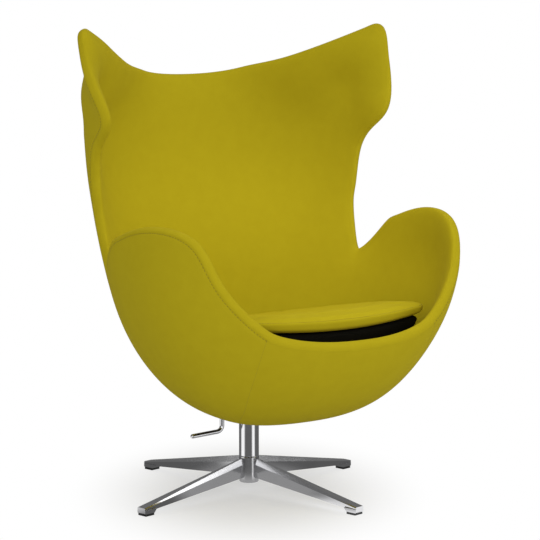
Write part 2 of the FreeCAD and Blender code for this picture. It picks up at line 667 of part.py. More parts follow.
def start_height(turn, inset, level):
    """Height of the outer face where a layer starts: at the opening, or where its own face is at level"""
    low, high = BOTTOM + 0.001, GIRDLE
    for step in range(40):
        middle = (low + high) / 2
        point = layer_point(turn, middle, inset)
        below = in_opening(point) < 1 if level is None else point.z < level
        if below:
            low = middle
        else:
            high = middle
    return high


def seam_distance(point):
    return min(point.distanceToPoint(seam) for seam in SEAM_POINTS)


def depth_at(turn, z, inset, skin):
    """Depth under the outer face; a layer that has a skin over it rolls up towards the rim"""
    if skin is None:
        return inset
    short = max(0.0, SIZE["roll_reach"] - seam_distance(shell_point(turn, z)))
    share = short / (PAD_CREST + SIZE["roll_reach"] - skin)
    return PAD_HALF + (PAD_HALF - skin) * math.sqrt(1 - share ** 2)


def drop_column(turn, top_z, inset, level=None, skin=None):
    """Column of a layer from its start up to top_z, evenly spaced along its length"""
    low = start_height(turn, inset, level)
    fine = 48
    heights = [low + (top_z - low) * (i / fine) ** 1.7 for i in range(fine + 1)]
    points = [layer_point(turn, z, inset) for z in heights]
    lengths = [0.0]
    for one, two in zip(points, points[1:]):
        lengths.append(lengths[-1] + one.distanceToPoint(two))
    column = []
    i = 0
    for place in spread(0, lengths[-1], DROP_COUNT):
        while i < fine - 1 and lengths[i + 1] < place:
            i += 1
        share = (place - lengths[i]) / (lengths[i + 1] - lengths[i])
        z = heights[i] + (heights[i + 1] - heights[i]) * share
        column.append(layer_point(turn, z, depth_at(turn, z, inset, skin)))
    if level is not None:
        column[0].z = level
    return column


def layer_fields(inset, level=None, skin=None):
    """Point grids of one layer face"""
    back = [[layer_point(turn, z, depth_at(turn, z, inset, skin)) for turn, z in row] for row in BACK_FIELD]
    lower = [drop_column(turn, notch_z, inset, level, skin) for turn in back_turns]
    front = [drop_column(turn, rim_height(place), inset, level, skin)
             for turn, place in zip(arm_turns, arm_places)]
    return back, lower, front


def set_rim(fields, rows):
    """Gives a layer its rim edges, and neighbouring fields the very same points along common edges"""
    back, lower, front = fields
    top, right, left, arms = rows
    back[-1] = list(right)
    back[0] = list(left)
    for row, point in zip(back, top):
        row[-1] = point
    for column, point in zip(front, arms):
        column[-1] = point
    back[-1][0] = front[0][-1]
    back[0][0] = front[-1][-1]
    for column, row in zip(lower, back):
        column[-1] = row[0]
    front[0] = lower[-1]
    front[-1] = lower[0]
    return back, lower, front


def rim_rows(fields):
    """Rim edges of a layer: top, right wing, left wing, arms and lip"""
    back, lower, front = fields
    return [[row[-1] for row in back], back[-1], back[0], [column[-1] for column in front]]


def start_rows(fields):
    back, lower, front = fields
    return [column[0] for column in lower], [column[0] for column in front]


def faces_of(fields):
    return [spline_face(grid) for grid in fields]


def sheet_fields(inset, rim_drop, level=None):
    """Layer of even depth whose edge stays rim_drop short of the seam"""
    fields = layer_fields(inset, level)
    rows = [[point - rim_frame(place)[2] * rim_drop for point, place in zip(row, places)]
            for row, places in zip(rim_rows(fields), RIM_PLACES)]
    return set_rim(fields, rows)


def band_rows(skin):
    """Grids of the rounded rim over its four edges: a short roll outside, a long one to the inside"""
    reach = SIZE["roll_reach"]
    inside = PAD_CREST + reach - skin
    last = 180 - math.degrees(math.asin(reach / inside))
    grids = []
    for places in RIM_PLACES:
        grid = []
        for place in places:
            seam, normal, beyond = rim_frame(place)
            middle = seam - normal * PAD_HALF
            row = []
            for angle in spread(0, last, BAND_COUNT):
                rise = math.sin(math.radians(angle))
                rise = rise * (PAD_CREST - skin) if angle < 90 else rise * inside - reach
                across = math.cos(math.radians(angle)) * (PAD_HALF - skin)
                row.append(middle + normal * across + beyond * rise)
            grid.append(row)
        grids.append(grid)
    return grids


def rolled_fields(skin, level):
    """Face of the padded inside, or of a layer a skin's depth under it, with its rim band"""
    band = band_rows(skin)
    fields = layer_fields(SIZE["pad_thickness"] - skin, level, skin)
    return set_rim(fields, [[row[-1] for row in grid] for grid in band]), band


def solid_of(faces):
    shell = Part.makeShell(faces)
    shell.sewShape()
    solid = Part.makeSolid(shell)
    if solid.Volume < 0:
        solid.reverse()
    return solid


def keep_shape(shape, label, placement=COLUMN):
    item = document.addObject("Part::Feature", "Shell")
    item.Shape = shape
    return keep(item, label, placement)


def sheet_layer(outside, inside, rim_drop):
    """Closed skin between two insets, open at the rim edge and round the column"""
    outer = sheet_fields(outside, rim_drop)
    inner = sheet_fields(inside, rim_drop)
    faces = faces_of(outer) + faces_of(inner)
    faces += [strip(a, b) for a, b in zip(rim_rows(outer), rim_rows(inner))]
    faces += [strip(a, b) for a, b in zip(start_rows(outer), start_rows(inner))]
    return solid_of(faces)


gap = SIZE["layer_gap"]
fabric = SIZE["fabric"]
core_outside = fabric + gap
core_inside = core_outside + SIZE["core_gauge"]
foam_outside = core_inside + gap
foam_skin = fabric + gap
foam_floor = SIZE["board_bottom"] + SIZE["board_gauge"] + SIZE["nut_gauge"] + gap

keep_shape(sheet_layer(0.0, fabric, 2 * gap), "outer_cover")
keep_shape(sheet_layer(core_outside, core_inside, 3.5 * gap), "shell_core")

# Foam: over the inside of the core, round the rim and down to the seat board
foam_outer = sheet_fields(foam_outside, 0.0, foam_floor)
foam_inner, foam_band = rolled_fields(foam_skin, SIZE["bowl_floor"] - foam_skin)
foam_faces = faces_of(foam_outer) + faces_of(foam_inner) + faces_of(foam_band)
foam_faces += [strip(a, [row[0] for row in grid]) for a, grid in zip(rim_rows(foam_outer), foam_band)]
foam_faces += [flat_face(*start_rows(foam_outer)), flat_face(*start_rows(foam_inner))]
keep_shape(solid_of(foam_faces), "shell_foam")

# Inner cover: one skin over the bowl's floor, the walls and the rim, ending at the seam
lining_back, band_back = rolled_fields(fabric, SIZE["bowl_floor"] - fabric)
lining_face, band_face = rolled_fields(0.0, SIZE["bowl_floor"])
lining = faces_of(lining_back) + faces_of(lining_face) + faces_of(band_back) + faces_of(band_face)
lining += [strip([row[0] for row in a], [row[0] for row in b]) for a, b in zip(band_back, band_face)]
lining += [flat_face(*start_rows(lining_back)), flat_face(*start_rows(lining_face))]
keep_shape(solid_of(lining), "inner_cover")

# Seat board: follows the inside of the core at its underside, drilled for the plate bolts
board_columns = [drop_column(turn, notch_z, core_inside + 3 * gap, SIZE["board_bottom"])[0] for turn in back_turns]
board_front = [drop_column(turn, GIRDLE, core_inside + 3 * gap, SIZE["board_bottom"])[0] for turn in arm_turns]
board_front[0], board_front[-1] = board_columns[-1], board_columns[0]
board = flat_face(board_columns, board_front).extrude(Vector(0, 0, SIZE["board_gauge"]))
for x in (-SIZE["bolt_x"], SIZE["bolt_x"]):
    for y in (SIZE["bolt_front"], SIZE["bolt_back"]):
        board = board.cut(Part.makeCylinder(SIZE["bolt_radius"], 3 * SIZE["board_gauge"],
                                            Vector(x, y, SIZE["board_bottom"] - SIZE["board_gauge"])))
keep_shape(board, "seat_board")


# Cushion and deck outlines: a bowed front, tight front corners, swelling sides and a round back

def arc_outline(half, front, back, z, inset=0.0):
    """Closed outline of arcs at height z, drawn in by inset on every side"""
    half, front, back = half - inset, front + inset, back - inset
    corner, bow, shoulder = half * 0.81, front * 0.895, back * 0.55
    right = [(corner, bow), (half * 0.905, bow * 0.945), (half * 0.94, bow * 0.83), (half, front * 0.15),
             (half * 0.87, shoulder * 0.8), (half * 0.53, back * 0.86), (0, back)]
    right = [Vector(x, y, z) for x, y in right]
    left = [Vector(-point.x, point.y, z) for point in reversed(right)]
    edges = [Part.Arc(left[-1], Vector(0, front, z), right[0]).toShape()]
    for chain in (right, left):
        for i in range(0, len(chain) - 1, 2):
            edges.append(Part.Arc(chain[i], chain[i + 1], chain[i + 2]).toShape())
    return Part.Wire(edges)


slope = Rotation(Vector(1, 0, 0), -SIZE["seat_slope"])
boxing, crown = SIZE["boxing_height"], SIZE["crown_height"]
CUSHION_PROFILE = [(0, 12), (boxing * 0.1, 3), (boxing * 0.3, 2.5), (boxing * 0.6, 4), (boxing, 0),
                   (boxing + crown * 0.45, 6), (boxing + crown * 0.8, 18), (boxing + crown, 45),
                   (boxing + crown * 0.93, 90), (boxing + crown * 0.85, 150)]
cushion = Part.makeLoft([arc_outline(SIZE["cushion_half"], SIZE["cushion_front"], SIZE["cushion_back"], z, inset)
                         for z, inset in CUSHION_PROFILE], True, True)
seat_place = Placement(Vector(0, SIZE["column_y"] + SIZE["cushion_y"], SIZE["cushion_z"]), slope)
keep_shape(cushion, "seat_cushion", seat_place)

# Deck pad: upright block on the bowl's floor whose top is cut to the slope under the cushion
deck_outline = arc_outline(SIZE["deck_half"], SIZE["deck_front"] - SIZE["cushion_y"],
                           SIZE["deck_back"] - SIZE["cushion_y"], 0)
deck_base = Vector(0, SIZE["cushion_y"], SIZE["bowl_floor"] + 0.3)
deck_block = Part.Face(deck_outline).extrude(Vector(0, 0, 150))
deck_block.Placement = Placement(deck_base, Rotation())
above = Part.makeBox(1200, 1200, 300, Vector(-600, -600, 0))
above.Placement = Placement(Vector(0, SIZE["cushion_y"], SIZE["cushion_z"] - 1), slope)
keep_shape(deck_block.cut(above), "deck_pad")

document.recompute()

faults = [item.Name for item in document.Objects if "Invalid" in item.State or "Error" in item.State]
for item in subparts:
    if item.Shape.isNull() or not item.Shape.isValid() or item.Shape.Volume <= 0:
        faults.append(item.Label)
if faults:
    raise RuntimeError("not built: " + ", ".join(faults))

os.makedirs("parts", exist_ok=True)
for item in subparts:
    item.Shape.exportStep("parts/%s.step" % item.Label)
    extent = item.Shape.BoundBox
    print("%-18s %2d solid %9.1f cm3  x %7.1f %7.1f  y %7.1f %7.1f  z %7.1f %7.1f" % (
        item.Label, len(item.Shape.Solids), item.Shape.Volume / 1000, extent.XMin, extent.XMax, extent.YMin,
        extent.YMax, extent.ZMin, extent.ZMax))
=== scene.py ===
# %% [markdown]
# # A winged shell lounge chair
# The chair is a moulded shell covered in felted wool, with a loose seat cushion, on a polished
# star base that swivels and reclines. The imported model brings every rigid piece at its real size.
# This lesson dresses it: the covers, seams and cushion are made here, and each metal and plastic
# piece gets its own finish.

# %% Load the frame
import json
import math

import bmesh
import bpy
import numpy as np
from mathutils import Matrix, Vector


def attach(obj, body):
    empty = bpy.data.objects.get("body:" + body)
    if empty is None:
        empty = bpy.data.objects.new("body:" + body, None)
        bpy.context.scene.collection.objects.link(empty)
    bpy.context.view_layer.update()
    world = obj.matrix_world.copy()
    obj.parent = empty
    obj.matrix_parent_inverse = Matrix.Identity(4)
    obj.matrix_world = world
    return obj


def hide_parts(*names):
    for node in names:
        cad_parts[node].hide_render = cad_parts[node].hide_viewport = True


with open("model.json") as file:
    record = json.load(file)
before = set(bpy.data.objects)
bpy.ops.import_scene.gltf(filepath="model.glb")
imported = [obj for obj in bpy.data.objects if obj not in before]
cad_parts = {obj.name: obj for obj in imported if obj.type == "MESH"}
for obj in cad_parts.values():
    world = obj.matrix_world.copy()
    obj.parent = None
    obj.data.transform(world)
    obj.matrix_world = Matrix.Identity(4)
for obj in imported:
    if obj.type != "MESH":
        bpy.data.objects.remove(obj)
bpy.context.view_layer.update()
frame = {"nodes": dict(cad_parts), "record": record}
SLOT_OF = {part["node"]: part["material_slot"] for part in frame["record"]["subparts"]}
scene = bpy.context.scene

# %% [markdown]
# ## The camera
# The photograph was taken from the front left with a long lens, a little above the seat back. The
# camera stands where straight lines of the base and the column agree with the picture, so it needs
# no shift. Its axes are worked out from a turn round the column, a small pan and a downward pitch.

# %% Camera
COLUMN_Y = 0.0576
VIEW_TURN, PAN, PITCH = math.radians(-32.4), 0.0095, 0.135
CAMERA_DISTANCE, CAMERA_HEIGHT = 5.13, 1.213

to_camera = Vector((math.sin(VIEW_TURN), -math.cos(VIEW_TURN), 0))
across = Vector((math.cos(VIEW_TURN), math.sin(VIEW_TURN), 0))
right = across * math.cos(PAN) + to_camera * math.sin(PAN)
level = across * math.sin(PAN) - to_camera * math.cos(PAN)
look = level * math.cos(PITCH) - Vector((0, 0, math.sin(PITCH)))
up = right.cross(look)

camera = bpy.data.objects.new("camera", bpy.data.cameras.new("camera"))
camera.data.lens = 150.6
camera.data.sensor_width = 36
camera.data.clip_end = 60
place = Vector((0, COLUMN_Y, CAMERA_HEIGHT)) + to_camera * CAMERA_DISTANCE
axes = Matrix((right, up, -look)).transposed().to_4x4()
camera.matrix_world = Matrix.Translation(place) @ axes
scene.collection.objects.link(camera)
scene.camera = camera
print("camera at", [round(v, 3) for v in place])

# %% [markdown]
# ## Writing shaders as sums
# A shader is easier to read as an expression than as a list of links. `Signal` wraps an output
# socket, so that `1 - mask * 0.3` adds the Math nodes by itself. `Finish.node` makes any other
# node: settings first, then the values or links of its inputs.

# %% Shader helper
class Signal:
    def __init__(self, finish, socket):
        self.finish, self.socket = finish, socket

    def _math(self, operation, first, second):
        return self.finish.node("ShaderNodeMath", {"operation": operation}, {0: first, 1: second})

    def __add__(self, other):
        return self._math("ADD", self, other)

    def __sub__(self, other):
        return self._math("SUBTRACT", self, other)

    def __rsub__(self, other):
        return self._math("SUBTRACT", other, self)

    def __mul__(self, other):
        return self._math("MULTIPLY", self, other)

    __radd__ = __add__
    __rmul__ = __mul__


class Finish:
    def __init__(self, name, owner=None):
        self.material = owner or bpy.data.materials.new(name)
        self.material.use_nodes = True
        self.tree = self.material.node_tree
        self.tree.nodes.clear()

    def node(self, kind, settings=None, inputs=None, output=0):
        node = self.tree.nodes.new(kind)
        for name, value in (settings or {}).items():
            setattr(node, name, value)
        for key, value in (inputs or {}).items():
            socket = node.inputs[key]
            if isinstance(value, Signal):
                self.tree.links.new(value.socket, socket)
            else:
                socket.default_value = value
        return Signal(self, node.outputs[output])

    def place(self):
        return self.node("ShaderNodeTexCoord", output="Object")

    def noise(self, scale, detail=3.0, roughness=0.5, stretch=None):
        vector = self.place()
        if stretch:
            vector = self.node("ShaderNodeMapping", inputs={"Vector": vector, "Scale": stretch})
        return self.node("ShaderNodeTexNoise", inputs={
            "Vector": vector, "Scale": scale, "Detail": detail, "Roughness": roughness})

    def mix(self, amount, first, second):
        return self.node("ShaderNodeMix", {"data_type": "RGBA"}, {0: amount, 6: first, 7: second}, output=2)

    def bump(self, height, strength, distance):
        return self.node("ShaderNodeBump", inputs={
            "Height": height, "Strength": strength, "Distance": distance})

    def surface(self, **inputs):
        names = {key.replace("_", " "): value for key, value in inputs.items()}
        shader = self.node("ShaderNodeBsdfPrincipled", inputs=names)
        self.output(shader)
        return self.material

    def output(self, shader):
        world = isinstance(self.material, bpy.types.World)
        end = self.tree.nodes.new("ShaderNodeOutputWorld" if world else "ShaderNodeOutputMaterial")
        self.tree.links.new(shader.socket, end.inputs["Surface"])
        return self.material


print("shader helper ready")

# %% [markdown]
# ## The felted wool
# The cover is a dense felted wool: matt, with short fibres that lie every way, a slight mottling of
# the dye and a soft bloom where light grazes it. Broad noise moves the colour a little, fine noise
# makes the nap, and the sheen socket gives the bloom.

# %% Felt and thread
OLIVE = (0.420, 0.340, 0.0110, 1)
OLIVE_DEEP = (0.370, 0.294, 0.0080, 1)


def felted_wool(name, light, deep):
    felt = Finish(name)
    fibres = felt.noise(1500, 4, 0.65)
    strands = felt.noise(420, 3, 0.6, stretch=(1.0, 1.6, 0.5))
    mottle = felt.noise(38, 3, 0.55)
    colour = felt.mix(mottle * 0.7 + strands * 0.3, deep, light)
    nap = felt.bump(fibres * 0.6 + strands * 0.4, 0.35, 0.0006)
    return felt.surface(Base_Color=colour, Roughness=0.88 + fibres * 0.1, Normal=nap, Sheen_Weight=0.03,
                        Sheen_Roughness=0.45, Sheen_Tint=(0.95, 0.86, 0.30, 1), Specular_IOR_Level=0.02)


FELT = felted_wool("wool_felt", OLIVE, OLIVE_DEEP)


def sewing_thread():
    thread = Finish("seam_thread")
    ply = thread.noise(2600, 2, 0.5)
    colour = thread.mix(ply, (0.115, 0.088, 0.003, 1), (0.20, 0.155, 0.006, 1))
    twist = thread.bump(ply, 0.3, 0.0003)
    return thread.surface(Base_Color=colour, Roughness=0.65 + ply * 0.2, Normal=twist)


THREAD = sewing_thread()
print("felt and thread ready")

# %% [markdown]
# ## The form of the shell
# The shell is one smooth rounded hull with its front cut away. Rails over the height say how far
# back the spine lies, how wide the hull is and where its front would be; under the girdle the
# sections shrink to the rounded bottom, and a low swell fills out the root of each wing. The same
# rule shaped the solids, so the covers lie exactly on them.
# Working in millimetres here keeps the numbers readable; meshes are made in metres.

# %% Rails and rim of the shell
RAIL_HEIGHTS = np.array([400.0, 560, 720, 900, 1080])
RAILS = {
    "back": [197.5, 242, 277.5, 287, 301],
    "wrap": [321, 327, 268, 229.5, 211],
    "half": [336, 357, 361, 337, 253],
    "flare": [0.04, 0.083, 0.043, 0.146, 0.4],
    "front": [-458, -494.5, -521, -482, -499],
    "vee": [0, 0, 0, 0.127, 1.16],
}
GIRDLE, BOTTOM, BOTTOM_Y = 492.0, 187.0, -100.0
CAP_FULLNESS, SIDE_FULLNESS = 2.565, 2.377
VEE_SLOPE, VEE_ROUND = 0.622, 17.5
SWELL, SWELL_TURN, SWELL_Z, SWELL_WIDTH, SWELL_RISE = 23.5, 59.5, 941.0, 10.7, 70.5
SWELL_SIDEWAYS, SWELL_BACKWARDS = 0.85, 0.53
RIM = [(0, 938.5), (20.7, 954.5), (26.6, 963), (40.6, 982), (55, 1016), (65.2, 1050), (66.7, 1053.5),
       (69.8, 1000.5), (74.5, 923), (75.3, 870), (67.7, 830.5), (60.6, 779), (57.2, 693), (56, 656),
       (57, 576.5), (61.4, 521.5), (76.8, 599), (81.5, 614.5), (97, 643.5), (120.8, 625.5), (132.1, 545.5),
       (148.2, 437), (153.9, 417.5), (180, 395)]
EAR, NOTCH = 6, 14
HALF_PAD, CREST, ROLL = 16.5, 14.0, 70.0
BOWL_FLOOR = 345.0
OPENING_HALF, OPENING_FRONT, OPENING_BACK, OPENING_FULLNESS = 95.0, -125.0, 85.0, 2.6
COVER_THICKNESS = 0.0012


def smooth_curve(knots, values):
    """Natural cubic curve through the values; its end pieces carry on beyond the end knots"""
    knots, values = np.asarray(knots, float), np.asarray(values, float)
    step, last = np.diff(knots), len(knots) - 1
    table, change = np.eye(last + 1), np.zeros(last + 1)
    for i in range(1, last):
        table[i, i - 1:i + 2] = step[i - 1], 2 * (step[i - 1] + step[i]), step[i]
        change[i] = 6 * ((values[i + 1] - values[i]) / step[i] - (values[i] - values[i - 1]) / step[i - 1])
    bending = np.linalg.solve(table, change)

    def curve(x):
        i = np.clip(np.searchsorted(knots, x) - 1, 0, last - 1)
        a, b = (knots[i + 1] - x) / step[i], (x - knots[i]) / step[i]
        swell = (a ** 3 - a) * bending[i] + (b ** 3 - b) * bending[i + 1]
        return a * values[i] + b * values[i + 1] + swell * step[i] ** 2 / 6
    return curve


rail = {name: smooth_curve(RAIL_HEIGHTS, values) for name, values in RAILS.items()}


def shell_point(turn, z):
    """Points of the outer face; turn 0 is the middle of the back, 180 the middle of the front"""
    turn, z = np.broadcast_arrays(np.asarray(turn, float), np.asarray(z, float))
    drop = np.clip((GIRDLE - z) / (GIRDLE - BOTTOM), 0, 1)
    shrink = (1 - drop ** CAP_FULLNESS) ** (1 / CAP_FULLNESS)
    back = BOTTOM_Y + (rail["back"](z) - BOTTOM_Y) * shrink
    front = BOTTOM_Y + (rail["front"](z) - BOTTOM_Y) * shrink
    wrap = rail["wrap"](z) * shrink
    depth = (back - front) * (1 - np.cos(np.radians(turn))) / 2
    behind = np.clip(depth / wrap, 0, 1)
    ahead = np.clip((back - front - depth) / (back - front - wrap), 0, 1)
    full = (1 - (1 - behind) ** SIDE_FULLNESS) * (1 - (1 - ahead) ** SIDE_FULLNESS)
    bowl = full ** (1 / SIDE_FULLNESS) * (rail["half"](z) * shrink + rail["flare"](z) * depth)
    vee = np.sqrt((depth / VEE_SLOPE) ** 2 + 2 * VEE_ROUND * depth / VEE_SLOPE)
    share = np.clip(rail["vee"](np.maximum(z, RAIL_HEIGHTS[0])), 0, 1)
    off_turn = (np.abs((turn + 180) % 360 - 180) - SWELL_TURN) / SWELL_WIDTH
    swell = SWELL * np.exp(-off_turn ** 2 - ((z - SWELL_Z) / SWELL_RISE) ** 2)
    x = np.sign(np.sin(np.radians(turn))) * ((1 - share) * bowl + share * vee + SWELL_SIDEWAYS * swell)
    return np.stack([x, back - depth + SWELL_BACKWARDS * swell, z], -1)


def unit(vectors):
    return vectors / (np.linalg.norm(vectors, axis=-1, keepdims=True) + 1e-12)


def outward(turn, z):
    along = shell_point(turn + 0.05, z) - shell_point(turn - 0.05, z)
    rise = shell_point(turn, z + 1) - shell_point(turn, np.maximum(z - 1, BOTTOM + 0.01))
    return unit(np.cross(rise, along))


def layer_point(turn, z, inset):
    return shell_point(turn, z) - outward(turn, z) * inset


def rim_curves():
    loop = np.array(RIM + [(360 - turn, z) for turn, z in reversed(RIM[:-1])], float)
    gaps = np.linalg.norm(np.diff(shell_point(loop[:, 0], loop[:, 1]), axis=0), axis=1) ** 0.6
    knots = np.r_[0, np.cumsum(gaps)]
    total, ghosts = knots[-1], 8
    before = loop[-1 - ghosts:-1] - [360, 0]
    after = loop[1:1 + ghosts] + [360, 0]
    stations = np.vstack([before, loop, after])
    spread = np.r_[knots[-1 - ghosts:-1] - total, knots, knots[1:1 + ghosts] + total]
    turns, heights = smooth_curve(spread, stations[:, 0]), smooth_curve(spread, stations[:, 1])

    def turn_at(place):
        near = np.minimum(np.abs(place), total - np.abs(place))
        base = turns(near)
        return np.where(place < 0, -base, np.where(place > total / 2, 360 - base, base))

    def height_at(place):
        return heights(np.minimum(np.abs(place), total - np.abs(place)))
    return knots, total, turn_at, height_at


rim_knots, rim_total, rim_turn, rim_height = rim_curves()
at_ear, at_notch = rim_knots[EAR], rim_knots[NOTCH]
notch_turn, notch_z = RIM[NOTCH]


def rim_frame(places):
    """Seam points, outward normals, and the direction in which the rim stands beyond the seam"""
    turn, z = rim_turn(places), rim_height(places)
    normal = outward(turn, z)
    along = (shell_point(rim_turn(places + 0.02), rim_height(places + 0.02))
             - shell_point(rim_turn(places - 0.02), rim_height(places - 0.02)))
    return shell_point(turn, z), normal, unit(np.cross(along, normal))


SEAM_PLACES = np.linspace(0, rim_total, 2401)[:-1]
seam_points = rim_frame(SEAM_PLACES)[0]
print("rim length %.2f m" % (np.linalg.norm(np.diff(seam_points, axis=0), axis=1).sum() / 1000))

# %% [markdown]
# ## Grids over the shell
# One grid cannot cover the hull without folding at the wings, so it is cut into three fields: the
# back between the wings, the part under it, and the front from notch to notch. Neighbours share
# their edge points, so merging doubles makes one mesh. Rows crowd together at the rim, because the
# seam there needs fine points.

# %% Fields of the shell
def crowd(start, end, count, ends):
    """Even places from start to end, with extra ones close to the named ends"""
    even = np.linspace(0, 1, count)
    close = np.array([0.0015, 0.004, 0.008, 0.013])
    extra = [close] * ("low" in ends) + [1 - close] * ("high" in ends)
    return start + (end - start) * np.unique(np.concatenate([even] + extra))


ACROSS = crowd(-1, 1, 121, ("low", "high"))
UP = crowd(0, 1, 64, ("high",))
TOP_PLACES = at_ear * ACROSS
WING_PLACES = at_notch + (at_ear - at_notch) * UP
ARM_PLACES = np.linspace(at_notch, rim_total - at_notch, 301)


def back_field():
    wing_turn, wing_z = rim_turn(WING_PLACES), rim_height(WING_PLACES)
    ear_turn, ear_z = RIM[EAR]
    turn_gap = wing_turn - (notch_turn + (ear_turn - notch_turn) * UP)
    z_gap = wing_z - (notch_z + (ear_z - notch_z) * UP)
    top_turn, top_z = rim_turn(TOP_PLACES)[:, None], rim_height(TOP_PLACES)[:, None]
    weight, side = (ACROSS ** 2)[:, None], np.sign(ACROSS)[:, None]
    turn = ACROSS[:, None] * notch_turn * (1 - UP) + top_turn * UP + side * weight * turn_gap
    return turn, notch_z * (1 - UP) + top_z * UP + weight * z_gap


def below_start(points, floor):
    if floor is not None:
        return points[..., 2] < floor
    middle, reach = (OPENING_FRONT + OPENING_BACK) / 2, (OPENING_BACK - OPENING_FRONT) / 2
    across, along = np.abs(points[..., 0] / OPENING_HALF), np.abs((points[..., 1] - middle) / reach)
    return across ** OPENING_FULLNESS + along ** OPENING_FULLNESS < 1


def drop_columns(turn, top_z, inset, floor, rows=52):
    """Turns and heights of columns from the opening, or from the bowl's floor, up to the rim"""
    low, high = np.full(len(turn), BOTTOM + 0.001), np.full(len(turn), GIRDLE)
    for step in range(40):
        middle = (low + high) / 2
        below = below_start(layer_point(turn, middle, inset), floor)
        low, high = np.where(below, middle, low), np.where(below, high, middle)
    shares = np.linspace(0, 1, 241) ** 1.7
    z = high[:, None] + (top_z - high)[:, None] * shares
    fine = layer_point(turn[:, None] + 0 * z, z, inset)
    heights = []
    for line, column in zip(fine, z):
        lengths = np.r_[0, np.cumsum(np.linalg.norm(np.diff(line, axis=0), axis=1))]
        places = np.r_[np.linspace(0, lengths[-1] - 12, rows), lengths[-1] - np.array([8, 5, 3, 1.5, 0])]
        heights.append(np.interp(places, lengths, column))
    heights = np.array(heights)
    return turn[:, None] + 0 * heights, heights


def shell_fields(inset, floor=None):
    """Turns and heights of the three fields, for a skin that lies inset within the outer face"""
    lower = drop_columns(ACROSS * notch_turn, np.full(len(ACROSS), float(notch_z)), inset, floor)
    front = drop_columns(rim_turn(ARM_PLACES), rim_height(ARM_PLACES), inset, floor)
    return [back_field(), lower, front]


def line_distance(points, line):
    """Distance of each point from the nearest point of a line"""
    flat = points.reshape(-1, 3)
    nearest = np.empty(len(flat))
    for start in range(0, len(flat), 2000):
        part = flat[start:start + 2000]
        nearest[start:start + 2000] = np.sqrt(((part[:, None] - line[None]) ** 2).sum(-1)).min(1)
    return nearest.reshape(points.shape[:-1])


def mesh_piece(name, grids, faces_out, extra=None):
    """One merged mesh from point grids in millimetres; faces_out tells which way a face should look"""
    mesh = bpy.data.meshes.new(name)
    work = bmesh.new()
    for grid in grids:
        points = grid * 0.001 + [0, COLUMN_Y, 0]
        rows = [[work.verts.new(point) for point in row] for row in points]
        for one, two in zip(rows, rows[1:]):
            for a, b, c, d in zip(one, two, two[1:], one[1:]):
                work.faces.new((a, b, c, d))
    bmesh.ops.remove_doubles(work, verts=work.verts, dist=0.00005)
    bmesh.ops.dissolve_degenerate(work, dist=0.00002, edges=work.edges)
    if extra:
        extra(work)
    bmesh.ops.recalc_face_normals(work, faces=work.faces)
    work.faces.ensure_lookup_table()
    shown = sum((Vector(faces_out(face.calc_center_median())).dot(face.normal)) for face in work.faces)
    if shown < 0:
        bmesh.ops.reverse_faces(work, faces=work.faces)
    for face in work.faces:
        face.smooth = True
    work.to_mesh(mesh)
    work.free()
    piece = bpy.data.objects.new(name, mesh)
    scene.collection.objects.link(piece)
    return piece


def bake(piece):
    """Applies the modifiers, so that the piece is a plain mesh"""
    mesh = bpy.data.meshes.new_from_object(piece.evaluated_get(bpy.context.evaluated_depsgraph_get()))
    piece.modifiers.clear()
    piece.data = mesh
    return piece


def thicken(piece, thickness):
    wall = piece.modifiers.new("cloth", "SOLIDIFY")
    wall.thickness, wall.offset, wall.use_even_offset = thickness, -1, False
    return bake(piece)


print("fields:", len(ACROSS), "x", len(UP), "and", len(ARM_PLACES), "columns")

# %% [markdown]
# ## The outer cover
# The outside is one tight skin from the opening under the seat to the seam below the rim. It dips
# a little along the seam, where the stitches pull it against the core. The dip comes from each
# point's distance to the seam line. Across the front lip the wool runs on without a seam.

# %% Outer cover
LIP_PLACE = 292.0
SEWN_PLACES = np.linspace(-LIP_PLACE, LIP_PLACE, 2201)
sewn_points, sewn_normals, sewn_beyond = rim_frame(SEWN_PLACES)
SEAM_DIP, SEAM_SPREAD = 1.5, 3.2


def away_from_middle(centre):
    return (centre.x, centre.y - COLUMN_Y + 0.08, (centre.z - 0.6) * 0.4)


outer_grids = []
for turn, z in shell_fields(0.0):
    away = line_distance(shell_point(turn, z), sewn_points)
    outer_grids.append(layer_point(turn, z, (SEAM_DIP * np.exp(-(away / SEAM_SPREAD) ** 2))[..., None]))
outer_cover = thicken(mesh_piece("shell_outer_cover", outer_grids, away_from_middle), COVER_THICKNESS)
outer_cover.data.materials.append(FELT)
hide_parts("outer_cover")
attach(outer_cover, "seat")
print("outer cover", len(outer_cover.data.polygons), "faces")

# %% [markdown]
# ## The lining and the rolled rim
# A second skin covers the floor and walls of the bowl, rolls over the padded rim and ends at the
# same seam. The roll is tight on the outside of the crest and long on the inside, so the padding
# thins towards the edge over a hand's breadth.

# %% Lining
def pad_depth(away):
    """Depth of the lining under the outer face, from its distance to the rim"""
    short = np.maximum(0, ROLL - away) / (CREST + ROLL)
    return HALF_PAD * (1 + np.sqrt(1 - short ** 2))


def rim_band(places):
    seam, normal, beyond = rim_frame(places)
    quarter, last = math.pi / 2, math.pi - math.asin(ROLL / (CREST + ROLL))
    tight = np.concatenate([[0, 0.04, 0.09, 0.15, 0.23], np.linspace(0.34, quarter, 9)])
    angle = np.concatenate([tight, np.linspace(quarter, last, 7)[1:]])[None, :, None]
    rise = np.where(angle <= quarter, np.sin(angle) * CREST, np.sin(angle) * (CREST + ROLL) - ROLL)
    near = np.abs(np.where(places > rim_total / 2, places - rim_total, places))
    sewn = np.clip((LIP_PLACE + 1 - near) / 2, 0, 1)[:, None, None]
    dip = sewn * SEAM_DIP * np.exp(-(angle * CREST / SEAM_SPREAD) ** 2)
    roll = (seam - normal * HALF_PAD)[:, None] + normal[:, None] * (np.cos(angle) * HALF_PAD - dip)
    return roll + beyond[:, None] * rise


